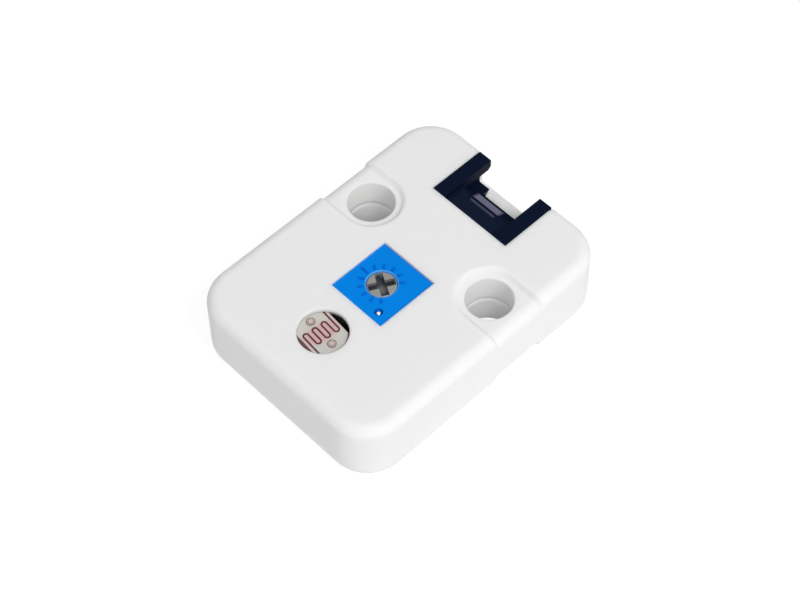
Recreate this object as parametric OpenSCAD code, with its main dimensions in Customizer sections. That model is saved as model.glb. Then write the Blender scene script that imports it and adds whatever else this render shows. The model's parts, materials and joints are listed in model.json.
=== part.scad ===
// Light sensor module in a moulded case: a photo-resistor cell, a trimmer and a four-pin socket
// on one small circuit board. The case is a deep top shell closed from below by a cover.
// X runs along the case towards the socket, Z is up, and the origin is under the case's centre.

/* [Case] */
// Length of the case along X
case_length = 32; // [31.5:0.5:36]
// Width of the case along Y
case_width = 24; // [23.5:0.5:28]
// Height of the case
case_height = 8; // [7.9:0.1:9]
// Radius of the four upright corners
corner_radius = 4.1; // [3.4:0.1:4.6]
// Radius that rounds the top edge
top_edge_radius = 1.2; // [0.4:0.1:1.2]
// Radius that rounds the bottom edge
bottom_edge_radius = 1.5; // [0.8:0.1:1.5]
// Thickness of the side walls
wall = 1.2; // [1.1:0.05:1.3]
// Thickness of the top wall
top_wall = 1.2; // [1.0:0.05:1.25]
// Thickness of the bottom cover's plate
cover_thickness = 1.2; // [1.0:0.05:1.25]
// Gap between the cover and the shell's side walls
cover_gap = 0.1; // [0.05:0.05:0.15]
// Radius that softens the cover's lower edge at the seam
cover_edge_radius = 0.2; // [0.1:0.05:0.3]

/* [Pin holes] */
// Distance of each building-brick pin hole from the case's long side
hole_margin = 4; // [3.8:0.05:4.2]
// Place of the pin holes along X, from the case's centre
hole_x = 3.9; // [3.6:0.1:4.1]
// Radius of the pin holes
hole_radius = 2.35; // [2.2:0.05:2.45]
// Thickness of the tube round each pin hole
tube_wall = 0.8; // [0.6:0.05:0.85]
// Radius that rounds the holes' mouths in the top
mouth_radius = 0.1; // [0.05:0.05:0.3]
// Radius that rounds the holes' mouths in the underside
under_mouth_radius = 0.25; // [0.05:0.05:0.3]
// Height of the seam between the upper and the lower tube
seam_height = 4.3; // [4.0:0.1:5.2]
// Open gap at that seam
seam_gap = 0.2; // [0.1:0.05:0.3]
// Radius that rounds the lower tube's upper end inside
seam_radius = 0.5; // [0.1:0.05:0.6]
// Radius of the sunk pad round each pin hole, half way down its soft wall
pad_radius = 3.1; // [3.05:0.05:3.3]
// Depth of the sunk pads in the top
pad_depth = 0.5; // [0.4:0.05:0.6]
// Depth of the sunk pads in the underside
under_pad_depth = 0.8; // [0.4:0.05:0.8]
// Radius of the two curves in the pads' soft wall
pad_edge_radius = 0.45; // [0.42:0.01:0.5]

/* [Board] */
// Height of the board's underside above the cover's plate
board_stand = 0.55; // [0.5:0.01:0.6]
// Thickness of the circuit board
board_thickness = 1.0; // [0.8:0.05:1.1]
// Gap between the board's edge and the shell's walls
board_gap = 0.3; // [0.2:0.05:0.4]
// Gap between the board and what passes through or round it
board_clearance = 0.25; // [0.15:0.05:0.3]
// Radius of each lead hole beyond its lead
lead_hole_gap = 0.1; // [0.05:0.01:0.15]
// Length of a lead below the board
lead_tail = 0.4; // [0.3:0.05:0.42]

/* [Trimmer] */
// Place of the trimmer along X
trimmer_x = -2.25; // [-2.4:0.05:-2.0]
// Trimmer's size along X
trimmer_length = 6.85; // [6.7:0.05:7.1]
// Trimmer's size along Y
trimmer_width = 6.55; // [6.4:0.05:6.8]
// Depth of the trimmer's face below the case's top
trimmer_sink = 0.2; // [0.15:0.05:0.25]
// Gap between the trimmer and its window
window_gap = 0.08; // [0.03:0.01:0.1]
// Distance of the rotor's axis from the trimmer's middle, towards +Y
rotor_y = 0.12; // [0:0.02:0.2]
// Radius of the rotor's visible end
rotor_radius = 1.45; // [1.35:0.05:1.5]
// Radial running gap round the rotor
rotor_gap = 0.05; // [0.03:0.01:0.08]
// Width of the rotor's cross slot
slot_width = 0.8; // [0.6:0.05:0.9]
// Depth of the cross slot
slot_depth = 0.9; // [0.4:0.05:1.1]
// Turn of the cross slot at rest, in degrees
slot_turn = -28; // [-45:1:45]
// Height of the marks on the dial
mark_height = 0.18; // [0.05:0.01:0.19]
// Turn that the stops allow, in degrees
rotor_travel = 260; // [220:5:270]
// Number of marks on the dial
dial_marks = 11; // [7:1:13]
// Pin radius of the trimmer's terminals
trimmer_leg_radius = 0.3; // [0.22:0.01:0.32]

/* [Light cell] */
// Distance of the light cell and its window from the case's back end
cell_margin = 6.1; // [5.8:0.1:6.2]
// How far the light cell sits off its window's centre, towards +Y
cell_y = 0.25; // [0:0.05:0.3]
// Turn of the light cell on its leads, in degrees
cell_turn = -5; // [-10:1:10]
// Diameter of the cell's ceramic
cell_diameter = 5.0; // [4.8:0.05:5.1]
// Width of the ceramic across its two flats
cell_width = 3.85; // [3.7:0.05:4.3]
// Thickness of the ceramic
cell_thickness = 2.1; // [1.8:0.05:2.3]
// Radius of the cell's window
cell_window_radius = 2.48; // [2.3:0.02:2.5]
// Thickness of the top wall round that window
cell_window_wall = 0.5; // [0.45:0.05:0.7]
// Gap between that wall and the cell's face
cell_gap = 0.08; // [0.03:0.01:0.12]
// Spacing of the cell's two leads
cell_lead_spacing = 3.2; // [3.1:0.05:3.4]
// Radius of the cell's leads
cell_lead_radius = 0.25; // [0.2:0.01:0.28]
// Spacing of the strokes in the cell's folded track
track_pitch = 0.53; // [0.45:0.01:0.55]
// Width of the track
track_width = 0.17; // [0.1:0.01:0.2]
// Length of the track's folds along Y
track_fold = 1.85; // [1.5:0.05:1.9]

/* [Socket] */
// Width of the socket's housing
socket_width = 9.64; // [9.5:0.02:10]
// Length of the housing from its back to the inside of the end wall
socket_length = 5.6; // [5.4:0.05:5.7]
// Offset of the socket from the case's centre line
socket_y = -0.1; // [-0.2:0.05:0.2]
// Distance from the case's end to the tips of the housing's two arms
socket_setback = 0.5; // [0.3:0.05:0.6]
// Thickness of the housing's side walls
socket_side = 0.8; // [0.7:0.05:0.9]
// Thickness of the housing's top
socket_top = 1.25; // [1.1:0.05:1.3]
// Thickness of the housing's floor
socket_floor = 0.3; // [0.25:0.05:0.4]
// Thickness of the housing's back, which holds the pins
socket_back = 1.3; // [1.1:0.05:1.5]
// Width of the notch in the housing's top
notch_width = 6.6; // [6.2:0.1:6.8]
// Radius in the notch's two inner corners
notch_radius = 0.35; // [0.1:0.05:0.5]
// Length of the deck behind the notch
deck_length = 2.45; // [2.2:0.05:2.6]
// Depth of that deck below the arms
deck_depth = 0.45; // [0.3:0.05:0.5]
// Width of the latch tongue on the deck's front edge
latch_width = 3.65; // [3:0.05:4]
// Reach of the latch tongue beyond the deck's front edge
latch_reach = 0.6; // [0.4:0.05:0.62]
// Height of the latch bar above the deck
latch_height = 0.12; // [0.05:0.01:0.2]
// Width of each key rail at its top
rail_width = 1.35; // [1.1:0.05:1.45]
// Height of the key rails above the housing's floor
rail_height = 1.6; // [1.4:0.05:1.7]
// Pin pitch of the socket
pin_pitch = 2.0; // [1.9:0.05:2.05]
// Thickness of the socket's square pins
pin_size = 0.5; // [0.4:0.05:0.55]
// Height of the pins' centre above the board
pin_height = 2.45; // [2.35:0.05:2.6]
// Reach of the pins' tips beyond the housing's back
pin_reach = 1.7; // [1.4:0.1:2.2]

/* [Screw] */
// Place of the case screw along X
screw_x = 4.6; // [4.5:0.05:4.7]
// Radius of the screw's shank
screw_radius = 1.0; // [0.8:0.05:1.05]
// Radius of the screw's head
screw_head_radius = 1.8; // [1.6:0.05:1.85]
// Height of the screw's head
screw_head_height = 1.2; // [1.0:0.05:1.25]

/* [Hidden] */
$fn = 64;
over = 1;            // how far a cutter runs past what it cuts
sink = 0.1;          // how far a rib runs into the wall that carries it
seat = 0.05;         // working gap between parts that are clamped or pass each other
lead_slack = 0.02;   // gap round a lead in what holds it

white = [0.90, 0.90, 0.89];
navy = [0.05, 0.08, 0.15];
blue = [0.0, 0.45, 0.9];
tin = [0.75, 0.75, 0.73];
steel = [0.6, 0.6, 0.62];
board_colour = [0.10, 0.09, 0.12];

// Heights that the stack gives, from the cover up to the case's top
board_bottom = cover_thickness + board_stand;
board_top = board_bottom + board_thickness;
top = case_height;
ceiling = top - top_wall;
trimmer_top = top - trimmer_sink;
lead_end = board_bottom - lead_tail;
inner_x = case_length / 2 - wall;
inner_y = case_width / 2 - wall;

// Pin holes and their tubes
hole_y = case_width / 2 - hole_margin;
upper_tube_end = seam_height + seam_gap / 2;
lower_tube_end = seam_height - seam_gap / 2;

// Supports that clamp the board, by the side walls
support_size = [1.6, 1.2];
support_back_x = -inner_x + 3.4;
support_front_x = inner_x - 5;

// Hooks that hold the cover's back edge
hook_y = inner_y - 4.8;
hook_width = 2;
hook_thickness = 0.7;
hook_reach = 0.4;
hook_low = board_top + 0.2;
hook_high = hook_low + 0.8;

// Screw, its cup in the cover and its boss in the shell
head_sink = 0.2;
cup_floor = 0.65;
cup_wall = 0.5;
head_gap = 0.1;
cup_radius = screw_head_radius + head_gap + cup_wall;
cup_roof = head_sink + screw_head_height;
cup_top = cup_roof + cup_floor;
boss_radius = screw_radius + 1.0;
thread_gap = 0.02;
screw_end_gap = 0.3;
boss_cap = 0.7;      // solid end of the boss under the case's top wall
screw_length = ceiling - boss_cap - screw_end_gap - cup_roof;

// Light cell's axis and top, counted from the case's back end and top
cell_x = cell_margin - case_length / 2;
cell_top = top - cell_window_wall - cell_gap;
cell_bottom = cell_top - cell_thickness;

// Chips on the board's top; the comparator lies half way between the trimmer and the case's wall
ic_place = [cell_x + 2.5, (trimmer_width / 2 + inner_y) / 2];
ic_size = [4.9, 3.9, 1.45];
ic_pitch = 1.27;
ic_span = 6.0;        // over the tips of the legs
ic_lift = 0.15;       // gap between its body and the board
ic_waist = [0.6, 0.8];   // heights between which its sides stand upright
ic_draft = 0.15;
ic_mark_radius = 0.3;
ic_mark_inset = 0.75;
ic_mark_depth = 0.1;
leg_width = 0.4;
leg_metal = 0.2;
resistor_size = [1.6, 0.8, 0.4];
capacitor_size = [1.6, 0.8, 0.75];
chip_pitch = 1.8;     // spacing of the chips' rows, counted from the case's side wall
chip_column = [6.4 - inner_x, 10.2 - inner_x];
chip_row = [2 - inner_y, 1.6 - inner_y];
resistor_places = [for (place = [[0, 0], [0, 1], [0, 2], [1, 1], [1, 2]])
  [chip_column[place[0]], chip_row[place[0]] + place[1] * chip_pitch]];
capacitor_places = [[2.6 - inner_x, 6.2 - inner_y], [chip_column[1], chip_row[1]]];

// Trimmer
feet_height = 0.4;
foot_size = 1.2;
trimmer_bottom = board_top + feet_height;
trimmer_roof = 1.1;
chamber_radius = 2.5;
chamber_top = trimmer_top - trimmer_roof;
track_plate = [5.9, 5.6, 0.6];
track_seat = 0.05;
terminal_x = 2.4;
terminal_y = 1.95;
terminal_hole = trimmer_leg_radius + 0.14;
terminal_tip = 0.1;   // depth of the first terminal's tip below the trimmer's face
terminal_places = [[-terminal_x, -terminal_y], [0, terminal_y + 0.35], [terminal_x, -terminal_y]];
flange_radius = 2.05;
flange_thickness = 0.8;
ring_wire = 0.33;
ring_side_gap = 0.05;
ring_end_gap = 0.03;
flange_top = chamber_top - 2 * ring_wire - 2 * ring_end_gap;
flange_base = flange_top - flange_thickness;
stop_radius = chamber_radius - 0.1;
hub_radius = 1.1;
wiper_thickness = 0.15;
wiper_radius = 1.9;
wiper_finger = 0.5;
wiper_contact = trimmer_bottom + track_plate[2] + track_seat;
wiper_rise = 0.45 * (flange_base - wiper_contact);   // of the spring disc's top above its contacts
wiper_top = wiper_contact + wiper_rise;
stop_block = 50;                          // arc of the fixed stop, in degrees
stop_tab = 360 - rotor_travel - stop_block - 2;   // arc of the moving stop

// Light cell's film and leads
track_height = 0.03;
lead_head_radius = 0.44;
lead_head_height = 0.06;
lead_end_proud = 0.04;   // how far the lead's end stands out of its head

// Socket
end_x = case_length / 2;
socket_front = inner_x - seat;
socket_rear = socket_front - socket_length;
arm_tip = end_x - socket_setback;
socket_base = board_top;
socket_crown = top;
cavity_low = socket_base + socket_floor;
cavity_high = socket_crown - socket_top;
rail_top = cavity_low + rail_height;
cavity_half = socket_width / 2 - socket_side;
rail_root = 0.5;      // how much narrower a key rail is at the floor
deck_top = socket_crown - deck_depth;
deck_front = socket_rear + deck_length;
groove_start = deck_front - 0.35;
groove_width = 0.1;
groove_depth = 0.12;
bar_length = 0.36;
latch_drop = 0.35;    // fall of the tongue's slope from the deck to its tip
tongue_bevel = 0.15;
lip_top = board_top + 0.1;
pin_tip = socket_rear + socket_back + pin_reach;
pin_tail = 1.4;       // reach of a pin's solder foot behind the housing
pin_slack = 0.02;     // play of a pin in the housing's back
pin_z = board_top + pin_height;
function pin_y(i) = (i - 1.5) * pin_pitch;

// 2D forms

module rounded_rect(length, width, radius) {
  square([length - 2 * radius, width], center = true);
  square([length, width - 2 * radius], center = true);
  for (x = [-1, 1], y = [-1, 1])
    translate([x * (length / 2 - radius), y * (width / 2 - radius)]) circle(radius);
}

// Upright section from a corner's axis out to the side face, with both edges rounded
module edge_section(reach, height, above, below) {
  square([reach - below, height]);
  translate([0, below]) square([reach - above, height - below]);
  translate([0, below]) square([reach, height - above - below]);
  if (above > 0) translate([reach - above, height - above]) circle(above);
  if (below > 0) translate([reach - below, below]) circle(below);
}

// Part of a disc between two angles, in degrees
module sector(radius, from, to) {
  far = radius * 3;
  steps = 4;
  intersection() {
    circle(radius);
    polygon(concat([[0, 0]], [for (i = [0 : steps])
      let (a = from + (to - from) * i / steps) [far * cos(a), far * sin(a)]]));
  }
}

// Slab with upright rounded corners and rounded upper and lower edges
module rounded_slab(length, width, height, radius, above, below) {
  flat_x = length - 2 * radius;
  flat_y = width - 2 * radius;
  translate([-flat_x / 2, -flat_y / 2, 0]) cube([flat_x, flat_y, height]);
  for (turn = [0, 180]) {
    rotate(turn) translate([flat_x / 2, flat_y / 2, 0]) rotate([90, 0, 0])
      linear_extrude(flat_y) edge_section(radius, height, above, below);
    rotate(turn + 90) translate([flat_y / 2, flat_x / 2, 0]) rotate([90, 0, 0])
      linear_extrude(flat_x) edge_section(radius, height, above, below);
  }
  for (corner = [[1, 1, 0], [-1, 1, 90], [-1, -1, 180], [1, -1, 270]])
    translate([corner[0] * flat_x / 2, corner[1] * flat_y / 2, 0]) rotate(corner[2])
      rotate_extrude(angle = 90) edge_section(radius, height, above, below);
}

// Both pin holes are mirror images across the case's long axis
module at_pin_holes() {
  for (side = [0, 1]) mirror([0, side, 0]) translate([hole_x, hole_y, 0]) children();
}

// Cutter for one sunk pad with a soft wall. The pad runs out over the near long side, whose
// rounded edge is cut down with it.
module pad_cutter(depth, mouth) {
  flat = hole_margin - top_edge_radius;
  lower = top - depth;
  round_mouth(lower, mouth);
  rotate(180) rotate_extrude(angle = 180) pad_section(depth);
  for (side = [0, 1]) mirror([side, 0, 0]) {
    translate([0, flat, 0]) rotate([90, 0, 0]) linear_extrude(flat) pad_section(depth);
    translate([0, flat, lower - top_edge_radius]) rotate([0, 90, 0]) rotate(90)
      rotate_extrude(angle = 90) mirror([1, 0, 0]) rotate(90)
        translate([0, top_edge_radius - lower]) pad_section(depth);
  }
}

// Half section of a pad's cutter: a flat floor and a wall of two curves that meet half way up
module pad_section(depth) {
  radius = pad_edge_radius;
  middle = top - depth / 2;
  run = radius * sin(acos(1 - depth / (2 * radius)));
  floor_end = pad_radius - run;
  translate([0, top - depth]) square([floor_end, depth + over]);
  translate([floor_end, top - depth + radius]) circle(radius);
  difference() {
    translate([floor_end, middle]) square([2 * run, depth / 2 + over]);
    translate([pad_radius + run, top - radius]) circle(radius);
  }
}

// Cutter that rounds the end of a pin hole's tube at the given height
module round_mouth(height, radius) {
  rotate_extrude() difference() {
    translate([0, height - radius]) square([hole_radius + radius, radius + over]);
    translate([hole_radius + radius, height - radius]) circle(radius);
  }
}

// Pads on both faces of the case
module pad_cutters() {
  at_pin_holes() pad_cutter(pad_depth, mouth_radius);
  translate([0, 0, top]) mirror([0, 0, 1]) at_pin_holes() pad_cutter(under_pad_depth, under_mouth_radius);
}

// Places of the four supports, as the middle of each one's wall side
module at_supports() {
  for (x = [support_back_x, support_front_x], side = [0, 1])
    mirror([0, side, 0]) translate([x, inner_y, 0]) children();
}

module at_hooks() {
  for (y = [-hook_y, hook_y]) translate([-inner_x, y, 0]) children();
}

// Case

module top_shell() {
  color(white) difference() {
    union() {
      difference() {
        rounded_slab(case_length, case_width, case_height, corner_radius, top_edge_radius,
          bottom_edge_radius);
        translate([0, 0, -over]) linear_extrude(ceiling + over)
          rounded_rect(2 * inner_x, 2 * inner_y, corner_radius - wall);
      }
      at_pin_holes() translate([0, 0, upper_tube_end])
        cylinder(h = ceiling - upper_tube_end + sink, r = hole_radius + tube_wall);
      translate([screw_x, 0, cup_top + seat])
        cylinder(h = ceiling - cup_top - seat + sink, r = boss_radius);
      at_supports() translate([-support_size[0] / 2, -support_size[1], board_top + seat])
        cube([support_size[0], support_size[1] + sink, ceiling - board_top - seat + sink]);
    }
    at_pin_holes() translate([0, 0, upper_tube_end - over])
      cylinder(h = case_height, r = hole_radius);
    pad_cutters();
    translate([screw_x, 0, 0])
      cylinder(h = cup_roof + screw_length + screw_end_gap, r = screw_radius + thread_gap);
    translate([trimmer_x, 0, top]) cube([trimmer_length + 2 * window_gap,
      trimmer_width + 2 * window_gap, 2 * top_wall + over], center = true);
    cell_window();
    socket_opening();
    at_hooks() translate([-hook_reach - seat, -hook_width / 2 - head_gap, hook_low - head_gap])
      cube([hook_reach + over, hook_width + 2 * head_gap, hook_high - hook_low + 2 * head_gap]);
  }
}

module cell_window() {
  rim = 0.1;
  translate([cell_x, 0, ceiling - over]) {
    cylinder(h = top_wall + 2 * over, r = cell_window_radius);
    cylinder(h = top_wall - cell_window_wall + over, r = cell_diameter / 2 + cell_y + seat);
  }
  translate([cell_x, 0, top - rim])
    cylinder(h = rim, r1 = cell_window_radius, r2 = cell_window_radius + rim);
}

module socket_opening() {
  translate([socket_rear - window_gap, socket_y - socket_width / 2 - window_gap, lip_top])
    cube([case_length, socket_width + 2 * window_gap, case_height]);
}

module bottom_cover() {
  length = 2 * (inner_x - cover_gap);
  width = 2 * (inner_y - cover_gap);
  radius = corner_radius - wall - cover_gap;
  color(white) difference() {
    union() {
      rounded_slab(length, width, cover_thickness, radius, 0, cover_edge_radius);
      intersection() {
        at_pin_holes() cylinder(h = lower_tube_end, r = hole_radius + tube_wall);
        translate([-length / 2, -width / 2, 0]) cube([length, width, case_height]);
      }
      translate([screw_x, 0, cover_thickness / 2])
        cylinder(h = cup_top - cover_thickness / 2, r = cup_radius);
      at_supports() translate([-support_size[0] / 2, -support_size[1], cover_thickness - sink])
        cube([support_size[0], support_size[1] - cover_gap, board_bottom - cover_thickness + sink]);
      at_hooks() cover_hook();
    }
    at_pin_holes() {
      translate([0, 0, -over]) cylinder(h = case_height, r = hole_radius);
      round_mouth(lower_tube_end, seam_radius);
    }
    pad_cutters();
    translate([screw_x, 0, -over]) cylinder(h = cup_roof + over, r = screw_head_radius + head_gap);
    translate([screw_x, 0, 0]) cylinder(h = cup_top + over, r = screw_radius + head_gap);
  }
}

// Hook that springs into a pocket of the shell's end wall; its barb slopes on top
module cover_hook() {
  low = cover_thickness - sink;
  along_y(hook_width)
    polygon([[cover_gap, low], [cover_gap + hook_thickness, low],
      [cover_gap + hook_thickness, hook_high], [cover_gap, hook_high],
      [-hook_reach, hook_low + 0.15], [-hook_reach, hook_low], [cover_gap, hook_low]]);
}

module case_screw() {
  socket_across = 1.3;
  socket_depth = 0.7;
  color(steel) difference() {
    translate([screw_x, 0, head_sink]) {
      cylinder(h = screw_head_height, r = screw_head_radius);
      cylinder(h = screw_head_height + screw_length, r = screw_radius);
    }
    translate([screw_x, 0, head_sink - over])
      cylinder(h = socket_depth + over, r = socket_across / sqrt(3), $fn = 6);
  }
}

// Board and its parts

module circuit_board() {
  hole = trimmer_leg_radius + lead_hole_gap;
  notch = hole_radius + tube_wall + board_clearance;
  hook_notch = [cover_gap + hook_thickness + board_clearance, hook_width + 2 * board_clearance];
  color(board_colour) translate([0, 0, board_bottom]) linear_extrude(board_thickness) difference() {
    rounded_rect(2 * (inner_x - board_gap), 2 * (inner_y - board_gap), corner_radius - wall - board_gap);
    for (side = [-1, 1]) {
      translate([hole_x, side * hole_y]) circle(notch);
      translate([hole_x - notch, side > 0 ? hole_y : -case_width / 2 - over])
        square([2 * notch, case_width / 2 + over - hole_y]);
      translate([-inner_x, side * hook_y]) square([2 * hook_notch[0], hook_notch[1]], center = true);
    }
    translate([screw_x, 0]) circle(cup_radius + board_clearance);
    for (place = terminal_places) translate([trimmer_x + place[0], place[1]]) circle(hole);
    for (side = [-1, 1]) translate(cell_lead_place(side)) circle(cell_lead_radius + lead_hole_gap);
  }
}

// Moulded body with sloped sides and a round dimple at the first leg
module comparator_ic() {
  side = ic_size[1] / 2;
  slope = side - ic_draft;
  dimple = [ic_mark_inset - ic_size[0] / 2, ic_mark_inset - side, ic_size[2] - ic_mark_depth];
  color([0.12, 0.12, 0.13]) translate([ic_place[0], ic_place[1], board_top + ic_lift]) difference() {
    along_x(-ic_size[0] / 2, ic_size[0] / 2)
      polygon([[-slope, 0], [slope, 0], [side, ic_waist[0]], [side, ic_waist[1]],
        [slope, ic_size[2]], [-slope, ic_size[2]], [-side, ic_waist[1]], [-side, ic_waist[0]]]);
    translate(dimple) cylinder(h = over, r = ic_mark_radius);
  }
}

// Gull-wing legs, four on each long side
module comparator_legs() {
  root = ic_size[1] / 2;
  knee = root + 0.25 + leg_metal;
  high = ic_lift + ic_waist[0];
  color(tin) for (side = [0, 1], i = [0 : 3])
    translate([ic_place[0] + (i - 1.5) * ic_pitch, ic_place[1], board_top]) mirror([0, side, 0])
      along_x(-leg_width / 2, leg_width / 2)
        polygon([[root, high], [knee, high], [knee, leg_metal], [ic_span / 2, leg_metal],
          [ic_span / 2, 0], [knee - leg_metal, 0], [knee - leg_metal, high - leg_metal],
          [root, high - leg_metal]]);
}

// Chip with end caps that stand slightly proud of its body
module chip(size) {
  cap = 0.35;
  proud = 0.03;
  translate([0, 0, size[2] / 2 + proud]) {
    cube(size, center = true);
    for (side = [-1, 1]) translate([side * (size[0] - cap) / 2, 0, 0])
      cube([cap, size[1] + 2 * proud, size[2] + 2 * proud], center = true);
  }
}

module chip_resistors() {
  color([0.2, 0.2, 0.22]) for (place = resistor_places)
    translate([place[0], place[1], board_top]) chip(resistor_size);
}

module chip_capacitors() {
  color([0.72, 0.58, 0.42]) for (place = capacitor_places)
    translate([place[0], place[1], board_top]) chip(capacitor_size);
}

// Fillets of solder round the leads below the board
module solder_joints() {
  color(tin) {
    for (place = terminal_places)
      translate([trimmer_x + place[0], place[1], 0]) solder_cone(trimmer_leg_radius);
    for (side = [-1, 1]) translate(cell_lead_place(side)) solder_cone(cell_lead_radius);
  }
}

module solder_cone(lead) {
  height = lead_tail - 0.1;
  translate([0, 0, board_bottom - height]) difference() {
    cylinder(h = height, r1 = lead + 0.15, r2 = lead + 0.5);
    translate([0, 0, -over]) cylinder(h = height + 2 * over, r = lead + lead_slack);
  }
}

// Socket

// Draws a section given in Y and Z, and runs it along X
module along_x(from, to) {
  translate([from, 0, 0]) rotate([90, 0, 90]) linear_extrude(to - from) children();
}

// Draws a section given in X and Z, and runs it along Y, centred
module along_y(width) {
  translate([0, width / 2, 0]) rotate([90, 0, 0]) linear_extrude(width) children();
}

module socket_housing() {
  color(navy) translate([0, socket_y, 0]) difference() {
    union() {
      socket_shell();
      latch_tongue();
    }
    latch_slope();
  }
}

module socket_shell() {
  half = socket_width / 2;
  difference() {
    union() {
      along_x(socket_rear, socket_front)
        translate([-half, socket_base]) square([socket_width, socket_crown - socket_base]);
      along_x(socket_front, arm_tip)
        translate([-half, cavity_high]) square([socket_width, socket_top]);
    }
    along_x(socket_rear + socket_back, end_x) socket_cavity();
    translate([deck_front, 0, cavity_high - over]) linear_extrude(socket_top + 2 * over) notch();
    translate([socket_rear - over, -notch_width / 2, deck_top])
      cube([deck_length + 2 * over, notch_width, deck_depth + over]);
    arm_lead_in();
    for (i = [0 : 3]) translate([socket_rear, pin_y(i), pin_z])
      cube([3 * socket_back, pin_size + 2 * pin_slack, pin_size + 2 * pin_slack], center = true);
  }
}

// Outline of the notch from the deck's front edge outwards, with rounded inner corners
module notch() {
  corner = notch_width / 2 - notch_radius;
  translate([notch_radius, -notch_width / 2]) square([case_length, notch_width]);
  translate([0, -corner]) square([2 * notch_radius, 2 * corner]);
  for (y = [-corner, corner]) translate([notch_radius, y]) circle(notch_radius);
}

// Tongue that the plug's hook slides up, and the low bar behind it on the deck
module latch_tongue() {
  tip = deck_front + latch_reach;
  along_y(latch_width) polygon([[deck_front - sink, cavity_high], [tip - tongue_bevel, cavity_high],
    [tip, cavity_high + tongue_bevel], [tip, deck_top], [deck_front - sink, deck_top]]);
  along_y(latch_width) translate([groove_start - bar_length, deck_top - sink])
    square([bar_length, latch_height + sink]);
}

// Cutter for the fine groove before the bar and for the slope from there to the tongue's tip
module latch_slope() {
  tip = deck_front + latch_reach;
  high = deck_top + over;
  groove_end = groove_start + groove_width;
  along_y(latch_width) polygon([[groove_start, high], [groove_start, deck_top - groove_depth],
    [groove_end, deck_top - groove_depth], [groove_end, deck_top], [tip, deck_top - latch_drop],
    [tip + over, deck_top - latch_drop], [tip + over, high]]);
}

// Hollow that the plug fills: wide above, and keyed by two undercut rails beside the floor
module socket_cavity() {
  mouth = cavity_half - rail_width;
  polygon([[-mouth - rail_root, cavity_low], [mouth + rail_root, cavity_low], [mouth, rail_top],
    [cavity_half, rail_top], [cavity_half, cavity_high], [-cavity_half, cavity_high],
    [-cavity_half, rail_top], [-mouth, rail_top]]);
}

// Bevel under the arms' tips that guides the plug in
module arm_lead_in() {
  bevel = 0.35;
  along_y(socket_width + 2 * over)
    polygon([[arm_tip - bevel, cavity_high - over], [arm_tip + over, cavity_high - over],
      [arm_tip + over, cavity_high + bevel], [arm_tip, cavity_high + bevel],
      [arm_tip - bevel, cavity_high]]);
}

// Square pin, bent down behind the housing to a solder foot
module socket_pin(i) {
  thick = pin_size;
  drop = socket_rear - 0.25;
  foot = socket_rear - pin_tail;
  bend = 0.25;
  color(tin) translate([0, socket_y + pin_y(i), 0]) along_y(thick) {
    translate([drop - thick + bend, pin_z - thick / 2])
      square([pin_tip - 0.3 - (drop - thick + bend), thick]);
    polygon([[pin_tip - 0.3, pin_z - thick / 2], [pin_tip, pin_z - thick / 4],
      [pin_tip, pin_z + thick / 4], [pin_tip - 0.3, pin_z + thick / 2]]);
    translate([drop - thick + bend, pin_z + thick / 2 - bend]) circle(bend);
    translate([drop - thick, board_top]) square([thick, pin_z + thick / 2 - bend - board_top]);
    translate([foot, board_top]) square([drop - thick - foot, thick / 2]);
  }
}

module socket_pin_1() { socket_pin(0); }
module socket_pin_2() { socket_pin(1); }
module socket_pin_3() { socket_pin(2); }
module socket_pin_4() { socket_pin(3); }

// Solder tab beside the housing
module socket_anchor() {
  length = 1.8;
  metal = 0.2;
  foot = 0.9;
  color(tin) translate([socket_front - length - 0.6, socket_width / 2, board_top]) {
    cube([length, metal, 1.4]);
    cube([length, foot, metal]);
  }
}

module socket_anchor_left() { translate([0, socket_y, 0]) socket_anchor(); }
module socket_anchor_right() { translate([0, socket_y, 0]) mirror([0, 1, 0]) socket_anchor(); }

// Trimmer

module trimmer_housing() {
  bore_bevel = 0.1;
  color(blue) translate([trimmer_x, 0, 0]) difference() {
    union() {
      translate([-trimmer_length / 2, -trimmer_width / 2, trimmer_bottom])
        cube([trimmer_length, trimmer_width, trimmer_top - trimmer_bottom]);
      for (x = [-1, 1], y = [-1, 1])
        translate([x * (trimmer_length - foot_size) / 2, y * (trimmer_width - foot_size) / 2,
          board_top + (feet_height + sink) / 2])
          cube([foot_size, foot_size, feet_height + sink], center = true);
      translate([0, rotor_y, 0]) dial_ticks();
    }
    translate([0, rotor_y, 0]) difference() {
      translate([0, 0, trimmer_bottom - over])
        cylinder(h = chamber_top - trimmer_bottom + over, r = chamber_radius);
      fixed_stop();
    }
    translate([0, rotor_y, chamber_top - over])
      cylinder(h = 3 * over + trimmer_roof, r = rotor_radius + rotor_gap);
    translate([0, rotor_y, trimmer_top - bore_bevel])
      cylinder(h = bore_bevel, r1 = rotor_radius + rotor_gap, r2 = rotor_radius + rotor_gap + bore_bevel);
    translate([0, 0, trimmer_bottom]) cube([track_plate[0] + 2 * track_seat,
      track_plate[1] + 2 * track_seat, 2 * (track_plate[2] + track_seat)], center = true);
    translate([terminal_places[0][0], terminal_places[0][1], trimmer_bottom - over])
      cylinder(h = case_height, r = terminal_hole);
  }
}

// Raised marks round the rotor, the middle one longer, with a space on the terminals' side
module dial_ticks() {
  first = -42;
  last = 226;
  mark_gap = 0.28;
  mark_length = 0.5;
  middle_length = 0.9;
  mark_width = 0.16;
  for (i = [0 : dial_marks - 1])
    rotate(first + (last - first) * i / (dial_marks - 1))
      translate([rotor_radius + mark_gap, -mark_width / 2, trimmer_top - sink])
        cube([2 * i == dial_marks - 1 ? middle_length : mark_length, mark_width, sink + mark_height]);
}

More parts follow.
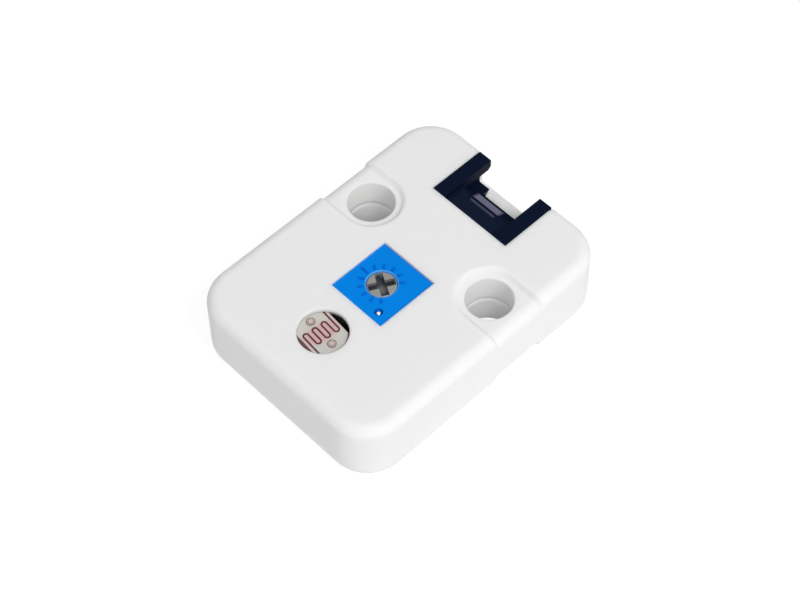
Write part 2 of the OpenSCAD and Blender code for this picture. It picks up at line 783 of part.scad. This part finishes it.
// Block in the chamber that the rotor's tab meets at either end of its turn
module fixed_stop() {
  low = flange_base - 0.1;
  translate([0, 0, low]) linear_extrude(chamber_top - low) difference() {
    sector(chamber_radius + over, -90 - stop_block / 2, -90 + stop_block / 2);
    circle(flange_radius + 0.15);
  }
}

module trimmer_rotor() {
  face = trimmer_top - 0.05;
  bevel = 0.08;
  slot_reach = rotor_radius - 0.1;
  color([0.72, 0.71, 0.68]) translate([trimmer_x, rotor_y, 0]) difference() {
    union() {
      translate([0, 0, flange_top - sink])
        cylinder(h = face - bevel - flange_top + sink, r = rotor_radius);
      translate([0, 0, face - bevel])
        cylinder(h = bevel, r1 = rotor_radius, r2 = rotor_radius - bevel);
      translate([0, 0, flange_base]) cylinder(h = flange_thickness, r = flange_radius);
      translate([0, 0, flange_base]) linear_extrude(flange_thickness)
        sector(stop_radius, 90 - stop_tab / 2, 90 + stop_tab / 2);
      translate([0, 0, wiper_top]) cylinder(h = flange_base - wiper_top + sink, r = hub_radius);
    }
    rotate(slot_turn) translate([0, 0, face]) for (turn = [0, 90]) rotate(turn)
      cube([2 * slot_reach, slot_width, 2 * slot_depth], center = true);
  }
}

// Spring disc under the hub with two fingers bent down to the track
module trimmer_wiper() {
  spread = 0.45;        // distance of each finger from the middle
  color([0.8, 0.66, 0.35]) translate([trimmer_x, rotor_y, 0]) {
    translate([0, 0, wiper_top - wiper_thickness]) cylinder(h = wiper_thickness, r = hub_radius);
    for (y = [-spread, spread])
      translate([0, y, 0]) along_y(wiper_finger)
      polygon([[0, wiper_top - wiper_thickness], [wiper_radius - 0.5, wiper_top - wiper_thickness],
        [wiper_radius - 0.2, wiper_contact], [wiper_radius, wiper_contact],
        [wiper_radius - 0.3, wiper_top], [0, wiper_top]]);
  }
}

// Ceramic plate that carries the resistive track and closes the trimmer below
module trimmer_track() {
  groove = 0.04;
  groove_radius = wiper_radius - 0.55;
  color([0.93, 0.92, 0.88]) translate([trimmer_x, 0, trimmer_bottom]) difference() {
    translate([-track_plate[0] / 2, -track_plate[1] / 2, 0]) cube(track_plate);
    translate([0, 0, -over]) for (place = terminal_places)
      translate([place[0], place[1], 0]) cylinder(h = case_height, r = trimmer_leg_radius + lead_slack);
    translate([0, rotor_y, track_plate[2] - groove]) linear_extrude(over) difference() {
      circle(groove_radius);
      circle(groove_radius - 0.2);
    }
  }
}

module trimmer_o_ring() {
  color([0.15, 0.15, 0.15]) translate([trimmer_x, rotor_y, flange_top + ring_wire + ring_end_gap])
    rotate_extrude() translate([rotor_radius + ring_wire + ring_side_gap, 0]) circle(ring_wire);
}

// Terminal pin; the first one shows its rounded end in the small hole of the face
module trimmer_leg(i, end) {
  place = terminal_places[i];
  color(tin) translate([trimmer_x + place[0], place[1], 0]) rotate_extrude() {
    translate([0, lead_end]) square([trimmer_leg_radius, end - lead_end]);
    if (i == 0) intersection() {
      translate([0, end]) circle(trimmer_leg_radius);
      square([trimmer_leg_radius, case_height]);
    }
  }
}

module trimmer_leg_1() { trimmer_leg(0, trimmer_top - terminal_tip - trimmer_leg_radius); }
module trimmer_leg_2() { trimmer_leg(1, trimmer_bottom + track_plate[2]); }
module trimmer_leg_3() { trimmer_leg(2, trimmer_bottom + track_plate[2]); }

// Light cell

function cell_lead_place(side) = [cell_x - side * cell_lead_spacing / 2 * sin(cell_turn),
  cell_y + side * cell_lead_spacing / 2 * cos(cell_turn), 0];

module cell_outline(inset) {
  intersection() {
    circle(cell_diameter / 2 - inset);
    square([cell_width - 2 * inset, cell_diameter], center = true);
  }
}

module ldr_cell() {
  color([0.84, 0.80, 0.78]) difference() {
    translate([cell_x, cell_y, cell_bottom]) rotate(cell_turn)
      linear_extrude(cell_thickness) cell_outline(0);
    for (side = [-1, 1])
      translate(cell_lead_place(side)) cylinder(h = case_height, r = cell_lead_radius + lead_slack);
  }
}

// One line folded seven times between the leads; its ends run off at opposite edges
module ldr_track() {
  bend = track_pitch / 2;
  straight = track_fold / 2 - bend - track_width / 2;
  reach = cell_diameter;
  color([0.35, 0.06, 0.08]) translate([cell_x, cell_y, cell_top]) rotate(cell_turn)
    linear_extrude(track_height) intersection() {
      cell_outline(0.05);
      union() {
        for (i = [-3 : 3]) {
          low = i == -3 ? -reach : -straight;
          high = i == 3 ? reach : straight;
          translate([i * track_pitch - track_width / 2, low]) square([track_width, high - low]);
        }
        for (i = [-3 : 2]) {
          up = i % 2 == 0 ? -1 : 1;
          translate([(i + 0.5) * track_pitch, up * straight]) difference() {
            circle(bend + track_width / 2);
            circle(bend - track_width / 2);
            translate([-bend - over, up > 0 ? -2 * over : 0]) square([2 * bend + 2 * over, 2 * over]);
          }
        }
      }
    }
}

module ldr_lead(side) {
  color(tin) translate(cell_lead_place(side)) {
    translate([0, 0, lead_end])
      cylinder(h = cell_top + lead_head_height + lead_end_proud - lead_end, r = cell_lead_radius);
    translate([0, 0, cell_top]) cylinder(h = lead_head_height, r = lead_head_radius);
  }
}

module ldr_lead_1() { ldr_lead(-1); }
module ldr_lead_2() { ldr_lead(1); }

top_shell();
bottom_cover();
case_screw();
circuit_board();
comparator_ic();
comparator_legs();
chip_resistors();
chip_capacitors();
solder_joints();
socket_housing();
socket_pin_1();
socket_pin_2();
socket_pin_3();
socket_pin_4();
socket_anchor_left();
socket_anchor_right();
trimmer_housing();
trimmer_rotor();
trimmer_wiper();
trimmer_track();
trimmer_o_ring();
trimmer_leg_1();
trimmer_leg_2();
trimmer_leg_3();
ldr_cell();
ldr_track();
ldr_lead_1();
ldr_lead_2();
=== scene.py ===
import json
import math

import bmesh
import bpy
from mathutils import Matrix, Vector


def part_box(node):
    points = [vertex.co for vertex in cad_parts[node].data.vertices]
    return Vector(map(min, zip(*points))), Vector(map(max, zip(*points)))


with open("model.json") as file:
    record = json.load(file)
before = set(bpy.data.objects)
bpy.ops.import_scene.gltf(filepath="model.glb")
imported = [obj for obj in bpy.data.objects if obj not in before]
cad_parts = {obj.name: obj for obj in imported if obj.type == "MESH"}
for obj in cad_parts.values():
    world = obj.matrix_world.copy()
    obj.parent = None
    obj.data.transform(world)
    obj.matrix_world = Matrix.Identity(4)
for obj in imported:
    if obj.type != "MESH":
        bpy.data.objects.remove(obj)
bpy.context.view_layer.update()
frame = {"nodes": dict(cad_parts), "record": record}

# Case: a deep top shell and a flat cover, both injection moulded in white plastic.
# The mould's faces are finely eroded, which leaves a satin grain with a slight mottle.
# The cover is held by two hooks and one screw.

nodes = frame["nodes"]
mm = 0.001


def moulded_plastic(name, colour, roughness, grain, depth, mottle, sheen=0.5, edge=0.05):
    """Material of a moulded part, with the grain's size and depth and its soft edge in mm."""
    mottle_size = 4
    gloss_play = 0.06
    material = bpy.data.materials.new(name)
    material.use_nodes = True
    tree = material.node_tree
    shader = tree.nodes["Principled BSDF"]
    place = tree.nodes.new("ShaderNodeTexCoord")

    patches = tree.nodes.new("ShaderNodeTexNoise")
    patches.inputs["Scale"].default_value = 1 / (mottle_size * mm)
    patches.inputs["Detail"].default_value = 3
    tree.links.new(place.outputs["Object"], patches.inputs["Vector"])
    tint = tree.nodes.new("ShaderNodeMix")
    tint.data_type = "RGBA"
    tint.inputs["A"].default_value = [c * (1 - mottle) for c in colour] + [1]
    tint.inputs["B"].default_value = [min(1, c * (1 + mottle)) for c in colour] + [1]
    tree.links.new(patches.outputs["Fac"], tint.inputs["Factor"])
    tree.links.new(tint.outputs["Result"], shader.inputs["Base Color"])

    gloss = tree.nodes.new("ShaderNodeMapRange")
    gloss.inputs["To Min"].default_value = roughness - gloss_play
    gloss.inputs["To Max"].default_value = roughness + gloss_play
    tree.links.new(patches.outputs["Fac"], gloss.inputs["Value"])
    tree.links.new(gloss.outputs["Result"], shader.inputs["Roughness"])

    erosion = tree.nodes.new("ShaderNodeTexNoise")
    erosion.inputs["Scale"].default_value = 1 / (grain * mm)
    erosion.inputs["Detail"].default_value = 4
    tree.links.new(place.outputs["Object"], erosion.inputs["Vector"])
    soft_edge = tree.nodes.new("ShaderNodeBevel")
    soft_edge.samples = 6
    soft_edge.inputs["Radius"].default_value = edge * mm
    relief = tree.nodes.new("ShaderNodeBump")
    relief.inputs["Strength"].default_value = 0.5
    tree.links.new(soft_edge.outputs["Normal"], relief.inputs["Normal"])
    relief.inputs["Distance"].default_value = depth * mm
    tree.links.new(erosion.outputs["Fac"], relief.inputs["Height"])
    tree.links.new(relief.outputs["Normal"], shader.inputs["Normal"])
    shader.inputs["Specular IOR Level"].default_value = sheen
    return material


def finish_node(name, material):
    nodes[name].data.materials.clear()
    nodes[name].data.materials.append(material)


case_white = moulded_plastic(
    "case_white",
    (0.96, 0.96, 0.95),
    roughness=0.5,
    grain=0.25,
    depth=0.004,
    mottle=0.012,
    sheen=0.15,
    edge=0.1,
)
# Light sinks a little way into the white plastic, which softens edges and brightens the holes
shader = case_white.node_tree.nodes["Principled BSDF"]
shader.inputs["Subsurface Weight"].default_value = 0.85
shader.inputs["Subsurface Radius"].default_value = (1, 0.95, 0.9)
shader.inputs["Subsurface Scale"].default_value = 0.7 * mm
finish_node("top_shell", case_white)
finish_node("bottom_cover", case_white)


def tint_where(material, mask, colour):
    """Mixes a colour into a material's own where the mask socket is 1."""
    tree = material.node_tree
    shader = tree.nodes["Principled BSDF"]
    tint = tree.nodes.new("ShaderNodeMix")
    tint.data_type = "RGBA"
    tree.links.new(mask, tint.inputs["Factor"])
    tree.links.new(shader.inputs["Base Color"].links[0].from_socket, tint.inputs["A"])
    tint.inputs["B"].default_value = (*colour, 1)
    tree.links.new(tint.outputs["Result"], shader.inputs["Base Color"])


def local_place(material, centre, half, turn=0):
    """Place from a centre in metres, turned about Z and divided by the half sizes in mm."""
    tree = material.node_tree
    place = tree.nodes.new("ShaderNodeTexCoord")
    local = tree.nodes.new("ShaderNodeMapping")
    local.vector_type = "TEXTURE"
    local.inputs["Location"].default_value = centre
    local.inputs["Rotation"].default_value = (0, 0, math.radians(turn))
    local.inputs["Scale"].default_value = [h * mm for h in half]
    tree.links.new(place.outputs["Object"], local.inputs["Vector"])
    return local.outputs["Vector"]


def block(material, centre, half, soft=0.25):
    """Mask of a box, its centre and half sizes in mm, that fades over its outer share."""
    tree = material.node_tree
    spot = local_place(material, Vector(centre) * mm, half)
    off = tree.nodes.new("ShaderNodeVectorMath")
    off.operation = "ABSOLUTE"
    tree.links.new(spot, off.inputs[0])
    split = tree.nodes.new("ShaderNodeSeparateXYZ")
    tree.links.new(off.outputs["Vector"], split.inputs[0])
    reach = split.outputs["X"]
    for side in ("Y", "Z"):
        most = tree.nodes.new("ShaderNodeMath")
        most.operation = "MAXIMUM"
        tree.links.new(reach, most.inputs[0])
        tree.links.new(split.outputs[side], most.inputs[1])
        reach = most.outputs[0]
    edge = tree.nodes.new("ShaderNodeMapRange")
    edge.interpolation_type = "SMOOTHSTEP"
    edge.inputs["From Min"].default_value = 1
    edge.inputs["From Max"].default_value = 1 - soft
    tree.links.new(reach, edge.inputs["Value"])
    return edge.outputs["Result"]


# Painted shade darkens the fine seam between the upper and the lower tube of each pin hole
seam_height = 4.3
seam_half = (3.1, 3.1, 0.2)
for mount in frame["record"]["mounts"]:
    if mount["kind"] == "bore":
        hole_x, hole_y = mount["pos_m"][:2]
        seam_shade = block(case_white, (hole_x / mm, hole_y / mm, seam_height), seam_half, soft=0.5)
        tint_where(case_white, seam_shade, (0.4, 0.39, 0.38))

# Case screw: a small pan-head screw of zinc-plated steel, rolled and plated.
# It is driven from below, through the cover's cup into the shell's boss.


def metal(name, colour, roughness, scratch):
    """Material of a metal part: scratch is the width of its fine marks in mm."""
    dull, bright = 0.86, 1.08
    material = bpy.data.materials.new(name)
    material.use_nodes = True
    tree = material.node_tree
    shader = tree.nodes["Principled BSDF"]
    shader.inputs["Metallic"].default_value = 1.0
    place = tree.nodes.new("ShaderNodeTexCoord")
    marks = tree.nodes.new("ShaderNodeTexNoise")
    marks.inputs["Scale"].default_value = 1 / (scratch * mm)
    marks.inputs["Detail"].default_value = 5
    tree.links.new(place.outputs["Object"], marks.inputs["Vector"])
    tint = tree.nodes.new("ShaderNodeMix")
    tint.data_type = "RGBA"
    tint.inputs["A"].default_value = [c * dull for c in colour] + [1]
    tint.inputs["B"].default_value = [min(1, c * bright) for c in colour] + [1]
    tree.links.new(marks.outputs["Fac"], tint.inputs["Factor"])
    tree.links.new(tint.outputs["Result"], shader.inputs["Base Color"])
    wear = tree.nodes.new("ShaderNodeMapRange")
    wear.inputs["To Min"].default_value = roughness - 0.08
    wear.inputs["To Max"].default_value = roughness + 0.12
    tree.links.new(marks.outputs["Fac"], wear.inputs["Value"])
    tree.links.new(wear.outputs["Result"], shader.inputs["Roughness"])
    return material


zinc = metal("zinc_plate", (0.62, 0.62, 0.63), roughness=0.32, scratch=0.3)
finish_node("case_screw", zinc)

# Circuit board: glass-fibre laminate under a dark glossy solder mask.
# Chips are soldered to its top, and the through-hole leads below it.

solder_mask = moulded_plastic(
    "solder_mask", (0.035, 0.025, 0.032), roughness=0.25, grain=0.6, depth=0.006, mottle=0.2
)
finish_node("circuit_board", solder_mask)
epoxy = moulded_plastic(
    "chip_epoxy", (0.03, 0.03, 0.032), roughness=0.6, grain=0.08, depth=0.004, mottle=0.1
)
finish_node("comparator_ic", epoxy)
finish_node("chip_resistors", epoxy)
chip_ceramic = moulded_plastic(
    "chip_ceramic", (0.42, 0.27, 0.15), roughness=0.5, grain=0.1, depth=0.003, mottle=0.08
)
finish_node("chip_capacitors", chip_ceramic)
tin_plate = metal("tin_plate", (0.78, 0.78, 0.76), roughness=0.3, scratch=0.2)
finish_node("comparator_legs", tin_plate)
finish_node("solder_joints", tin_plate)

# Socket: one dark moulding with two arms, a lower deck and two key rails.
# Its four tinned pins are pressed through the back, and two tabs anchor it to the board.

socket_navy = moulded_plastic(
    "socket_navy",
    (0.0038, 0.0078, 0.024),
    roughness=0.3,
    grain=0.3,
    depth=0.002,
    mottle=0.1,
    sheen=0.02,
    edge=0.08,
)
socket_low, socket_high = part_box("socket_housing")
socket_y = (socket_low[1] + socket_high[1]) / 2 / mm
deck_depth = 0.45
deck_top = socket_high[2] / mm - deck_depth
# The deck is painted a little paler than the arms; its low bar carries a painted highlight and the
# latch tongue's slope a painted reflection
deck_centre = (10.1, socket_y, deck_top)
deck = block(socket_navy, deck_centre, half=(1.25, 3.3, 0.1))
tint_where(socket_navy, deck, (0.006, 0.0112, 0.029))
slope_centre = (11.78, socket_y, deck_top - 0.25)
slope_reflection = block(socket_navy, slope_centre, half=(0.45, 1.85, 0.35))
tint_where(socket_navy, slope_reflection, (0.15, 0.155, 0.225))
bar_centre = (10.94, socket_y, deck_top + 0.07)
bar_highlight = block(socket_navy, bar_centre, half=(0.1, 1.8, 0.12))
tint_where(socket_navy, bar_highlight, (0.075, 0.085, 0.12))
finish_node("socket_housing", socket_navy)
for number in range(1, 5):
    finish_node(f"socket_pin_{number}", tin_plate)
for side in ("left", "right"):
    finish_node(f"socket_anchor_{side}", tin_plate)

# Trimmer: a blue moulded box with raised dial marks, closed below by a ceramic plate.
# A grey rotor with a cross slot turns in it, sealed by an O-ring, and carries the wiper.

trimmer_blue = moulded_plastic(
    "trimmer_blue",
    (0.0, 0.245, 0.85),
    roughness=0.4,
    grain=0.2,
    depth=0.004,
    mottle=0.05,
    sheen=0.05,
    edge=0.04,
)
finish_node("trimmer_housing", trimmer_blue)
rotor_grey = moulded_plastic(
    "rotor_grey", (0.3, 0.285, 0.26), roughness=0.5, grain=0.15, depth=0.004, mottle=0.1, edge=0.03
)
finish_node("trimmer_rotor", rotor_grey)

# Half height in mm of an upright mask, so great that a point's height doesn't count
endless = 1e6


def below(material, height, depth):
    """Mask that starts at a height and is full at the depth under it, or above if negative."""
    tree = material.node_tree
    place = tree.nodes.new("ShaderNodeTexCoord")
    split = tree.nodes.new("ShaderNodeSeparateXYZ")
    tree.links.new(place.outputs["Object"], split.inputs[0])
    fall = tree.nodes.new("ShaderNodeMapRange")
    fall.inputs["From Min"].default_value = height * mm
    fall.inputs["From Max"].default_value = (height - depth) * mm
    tree.links.new(split.outputs["Z"], fall.inputs["Value"])
    return fall.outputs["Result"]


def ring(material, centre, radius, width):
    """Mask of a ring round an upright axis, its centre in metres, radius and width in mm."""
    tree = material.node_tree
    reach = tree.nodes.new("ShaderNodeVectorMath")
    reach.operation = "LENGTH"
    spot = local_place(material, (centre[0], centre[1], 0), (radius, radius, endless))
    tree.links.new(spot, reach.inputs[0])
    band = tree.nodes.new("ShaderNodeMapRange")
    band.interpolation_type = "SMOOTHSTEP"
    off = tree.nodes.new("ShaderNodeMath")
    off.operation = "SUBTRACT"
    off.inputs[1].default_value = 1
    tree.links.new(reach.outputs["Value"], off.inputs[0])
    away = tree.nodes.new("ShaderNodeMath")
    away.operation = "ABSOLUTE"
    tree.links.new(off.outputs[0], away.inputs[0])
    band.inputs["From Min"].default_value = 0.7 * width / radius
    band.inputs["From Max"].default_value = 0.3 * width / radius
    tree.links.new(away.outputs[0], band.inputs["Value"])
    return band.outputs["Result"]


def patch(material, centre, half, turn=0, soft=0.3):
    """Mask of an upright oval, its centre in metres, that fades over its outer share."""
    tree = material.node_tree
    reach = tree.nodes.new("ShaderNodeVectorMath")
    reach.operation = "LENGTH"
    spot = local_place(material, (centre[0], centre[1], 0), (*half, endless), turn)
    tree.links.new(spot, reach.inputs[0])
    edge = tree.nodes.new("ShaderNodeMapRange")
    edge.interpolation_type = "SMOOTHSTEP"
    edge.inputs["From Min"].default_value = 1
    edge.inputs["From Max"].default_value = 1 - soft
    tree.links.new(reach.outputs["Value"], edge.inputs["Value"])
    return edge.outputs["Result"]


# Painted shade darkens the screwdriver slot, a mid-grey painted patch stands for its lit middle,
# and both rims carry painted highlights
rotor_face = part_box("trimmer_rotor")[1][2] / mm
slot_shade = below(rotor_grey, height=rotor_face - 0.1, depth=0.5)
tint_where(rotor_grey, slot_shade, (0.045, 0.05, 0.07))
seal_low, seal_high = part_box("trimmer_o_ring")
rotor_axis = (seal_low + seal_high) / 2
slot_middle = patch(rotor_grey, rotor_axis, half=(0.6, 0.6), soft=0.7)
tint_where(rotor_grey, slot_middle, (0.14, 0.15, 0.15))
rotor_rim_highlight = ring(rotor_grey, rotor_axis, radius=1.42, width=0.1)
tint_where(rotor_grey, rotor_rim_highlight, (0.3, 0.4, 0.5))
bore_rim_highlight = ring(trimmer_blue, rotor_axis, radius=1.56, width=0.12)
tint_where(trimmer_blue, bore_rim_highlight, (0.1, 0.38, 0.78))
# The raised dial marks' tops are painted a darker blue, as painted shade
housing_low, housing_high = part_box("trimmer_housing")
marks = below(trimmer_blue, height=housing_high[2] / mm - 0.1, depth=-0.05)
tint_where(trimmer_blue, marks, (0, 0.17, 0.62))
# The side next to the light cell is painted dark as painted shade, because it stands in the
# window's shade
side_centre = (housing_low[0] / mm, rotor_axis[1] / mm, 4.7)
shaded_side = block(trimmer_blue, side_centre, half=(0.3, 3.4, 2.7))
tint_where(trimmer_blue, shaded_side, (0.2, 0.17, 0.19))

bronze = metal("spring_bronze", (0.72, 0.5, 0.22), roughness=0.25, scratch=0.1)
finish_node("trimmer_wiper", bronze)
plate_ceramic = moulded_plastic(
    "plate_ceramic", (0.8, 0.79, 0.74), roughness=0.55, grain=0.1, depth=0.003, mottle=0.03
)
finish_node("trimmer_track", plate_ceramic)
seal = moulded_plastic(
    "seal_rubber", (0.01, 0.01, 0.01), roughness=0.6, grain=0.2, depth=0.003, mottle=0.2
)
finish_node("trimmer_o_ring", seal)
for number in range(1, 4):
    finish_node(f"trimmer_leg_{number}", tin_plate)

# Light cell: a pressed ceramic disc with two flats, standing on two tinned leads.
# A folded dark red film crosses it between two metal films that look faintly pink,
# all under a clear coat.

cell_ceramic = moulded_plastic(
    "cell_ceramic", (0.6, 0.58, 0.54), roughness=0.45, grain=0.12, depth=0.003, mottle=0.06
)
cell_ceramic.node_tree.nodes["Principled BSDF"].inputs["Coat Weight"].default_value = 0.6
finish_node("ldr_cell", cell_ceramic)
film_red = moulded_plastic(
    "film_red", (0.095, 0.006, 0.014), roughness=0.5, grain=0.1, depth=0.003, mottle=0.2
)
finish_node("ldr_track", film_red)
cell_low, cell_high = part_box("ldr_cell")
cell_middle = (cell_low + cell_high) / 2
cell_face = cell_high[2] / mm
metal_films = patch(cell_ceramic, cell_middle, half=(2.5, 1.3), turn=-5, soft=0.5)
tint_where(cell_ceramic, metal_films, (0.625, 0.405, 0.42))
# The coat is pink where it runs down over the disc's rim
rim = below(cell_ceramic, height=cell_face - 0.02, depth=0.03)
tint_where(cell_ceramic, rim, (0.9, 0.5, 0.5))
for number in (1, 2):
    low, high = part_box(f"ldr_lead_{number}")
    axis = (low + high) / 2
    head = moulded_plastic(
        f"ldr_lead_{number}_glaze",
        (0.61, 0.54, 0.5),
        roughness=0.4,
        grain=0.1,
        depth=0.002,
        mottle=0.05,
        edge=0.03,
    )
    core = patch(head, axis, half=(0.22, 0.22))
    tint_where(head, core, (0.66, 0.52, 0.47))
    # Two rings at the edges of the glazed head are painted darker, as painted shade
    outer_ring_shade = ring(head, axis, radius=0.41, width=0.11)
    tint_where(head, outer_ring_shade, (0.14, 0.11, 0.09))
    inner_ring_shade = ring(head, axis, radius=0.25, width=0.08)
    tint_where(head, inner_ring_shade, (0.36, 0.26, 0.22))
    # Below the cell's face the lead is bare tinned wire
    bare = below(head, height=cell_face - 0.01, depth=0.01)
    tint_where(head, bare, (0.75, 0.75, 0.73))
    metallic = head.node_tree.nodes["Principled BSDF"].inputs["Metallic"]
    head.node_tree.links.new(bare, metallic)
    finish_node(f"ldr_lead_{number}", head)

# Room: a pale floor under an even sky. Three soft lamps stand on the module's near side, and
# one beyond its socket end. The camera looks down over the near corner away from the socket.


def looked_at(tree):
    """Socket that is 1 for rays from the camera, seen straight or in metal and gloss."""
    path = tree.nodes.new("ShaderNodeLightPath")
    seen = path.outputs["Is Camera Ray"]
    for kind in ("Is Glossy Ray", "Is Transmission Ray"):
        either = tree.nodes.new("ShaderNodeMath")
        either.operation = "MAXIMUM"
        tree.links.new(seen, either.inputs[0])
        tree.links.new(path.outputs[kind], either.inputs[1])
        seen = either.outputs[0]
    return seen


# Looked at, the floor glows near white and still takes the module's shadow.
# To all other rays it is plain white paint.
floor_half = 3
paint_white = 0.97
floor_glow = 0.86
shadow_paint = 0.2
floor_mesh = bpy.data.meshes.new("floor")
bm = bmesh.new()
bmesh.ops.create_grid(bm, x_segments=1, y_segments=1, size=floor_half)
bm.to_mesh(floor_mesh)
bm.free()
floor = bpy.data.objects.new("floor", floor_mesh)
bpy.context.scene.collection.objects.link(floor)
floor_paint = bpy.data.materials.new("floor_paint")
floor_paint.use_nodes = True
tree = floor_paint.node_tree
tree.nodes.remove(tree.nodes["Principled BSDF"])
paint = tree.nodes.new("ShaderNodeBsdfDiffuse")
paint.inputs["Color"].default_value = (paint_white, paint_white, paint_white, 1)
glow = tree.nodes.new("ShaderNodeEmission")
glow.inputs["Strength"].default_value = floor_glow
shaded = tree.nodes.new("ShaderNodeBsdfDiffuse")
shaded.inputs["Color"].default_value = (shadow_paint, shadow_paint, shadow_paint, 1)
both = tree.nodes.new("ShaderNodeAddShader")
tree.links.new(shaded.outputs[0], both.inputs[0])
tree.links.new(glow.outputs[0], both.inputs[1])
choice = tree.nodes.new("ShaderNodeMixShader")
tree.links.new(looked_at(tree), choice.inputs[0])
tree.links.new(paint.outputs[0], choice.inputs[1])
tree.links.new(both.outputs[0], choice.inputs[2])
tree.links.new(choice.outputs[0], tree.nodes["Material Output"].inputs["Surface"])
floor_mesh.materials.append(floor_paint)

# The sky lights the module, and looked at it is plain white
sky_light = 0.355
world = bpy.data.worlds.new("room")
bpy.context.scene.world = world
world.use_nodes = True
tree = world.node_tree
sky = tree.nodes["Background"]
sky.inputs["Color"].default_value = (1, 1, 1, 1)
sky.inputs["Strength"].default_value = sky_light
backdrop = tree.nodes.new("ShaderNodeBackground")
backdrop.inputs["Color"].default_value = (1, 1, 1, 1)
backdrop.inputs["Strength"].default_value = 1.0
choice = tree.nodes.new("ShaderNodeMixShader")
tree.links.new(looked_at(tree), choice.inputs[0])
tree.links.new(sky.outputs[0], choice.inputs[1])
tree.links.new(backdrop.outputs[0], choice.inputs[2])
tree.links.new(choice.outputs[0], tree.nodes["World Output"].inputs["Surface"])

lamp_size = 0.15


def soft_lamp(name, place, power):
    """Square lamp that faces the module, its place in metres and its power in watts."""
    data = bpy.data.lights.new(name, "AREA")
    data.shape = "SQUARE"
    data.size = lamp_size
    data.energy = power
    lamp = bpy.data.objects.new(name, data)
    lamp.location = place
    lamp.rotation_mode = "QUATERNION"
    lamp.rotation_quaternion = (-Vector(place)).to_track_quat("-Z", "Y")
    bpy.context.scene.collection.objects.link(lamp)


soft_lamp("camera_side_lamp", (-0.254, -0.271, 0.534), power=0.86)
soft_lamp("middle_lamp", (-0.033, -0.358, 0.541), power=1.1)
soft_lamp("low_lamp", (-0.065, -0.517, 0.388), power=0.5)
soft_lamp("socket_end_lamp", (0.457, -0.065, 0.457), power=0.34)

azimuth = math.radians(-43.36)
elevation = math.radians(55.09)
roll = math.radians(-0.93)
distance = 212.95 * mm
module_middle = Vector((0, 0, 4 * mm))
shift_left = 0.02 * mm
shift_down = 0.55 * mm
back = Vector(
    (
        math.sin(azimuth) * math.cos(elevation),
        -math.cos(azimuth) * math.cos(elevation),
        math.sin(elevation),
    )
)
level = (-back).cross(Vector((0, 0, 1))).normalized()
upright = level.cross(-back)
right = math.cos(roll) * level + math.sin(roll) * upright
up = -math.sin(roll) * level + math.cos(roll) * upright
lens = bpy.data.cameras.new("camera")
lens.sensor_width = 36
lens.lens = 100.24
lens.clip_start = 0.01
lens.clip_end = 20
camera = bpy.data.objects.new("camera", lens)
eye = module_middle + back * distance - right * shift_left - up * shift_down
camera.matrix_world = Matrix.Translation(eye) @ Matrix((right, up, back)).transposed().to_4x4()
bpy.context.scene.collection.objects.link(camera)
bpy.context.scene.camera = camera
bpy.context.scene.view_settings.view_transform = "Standard"
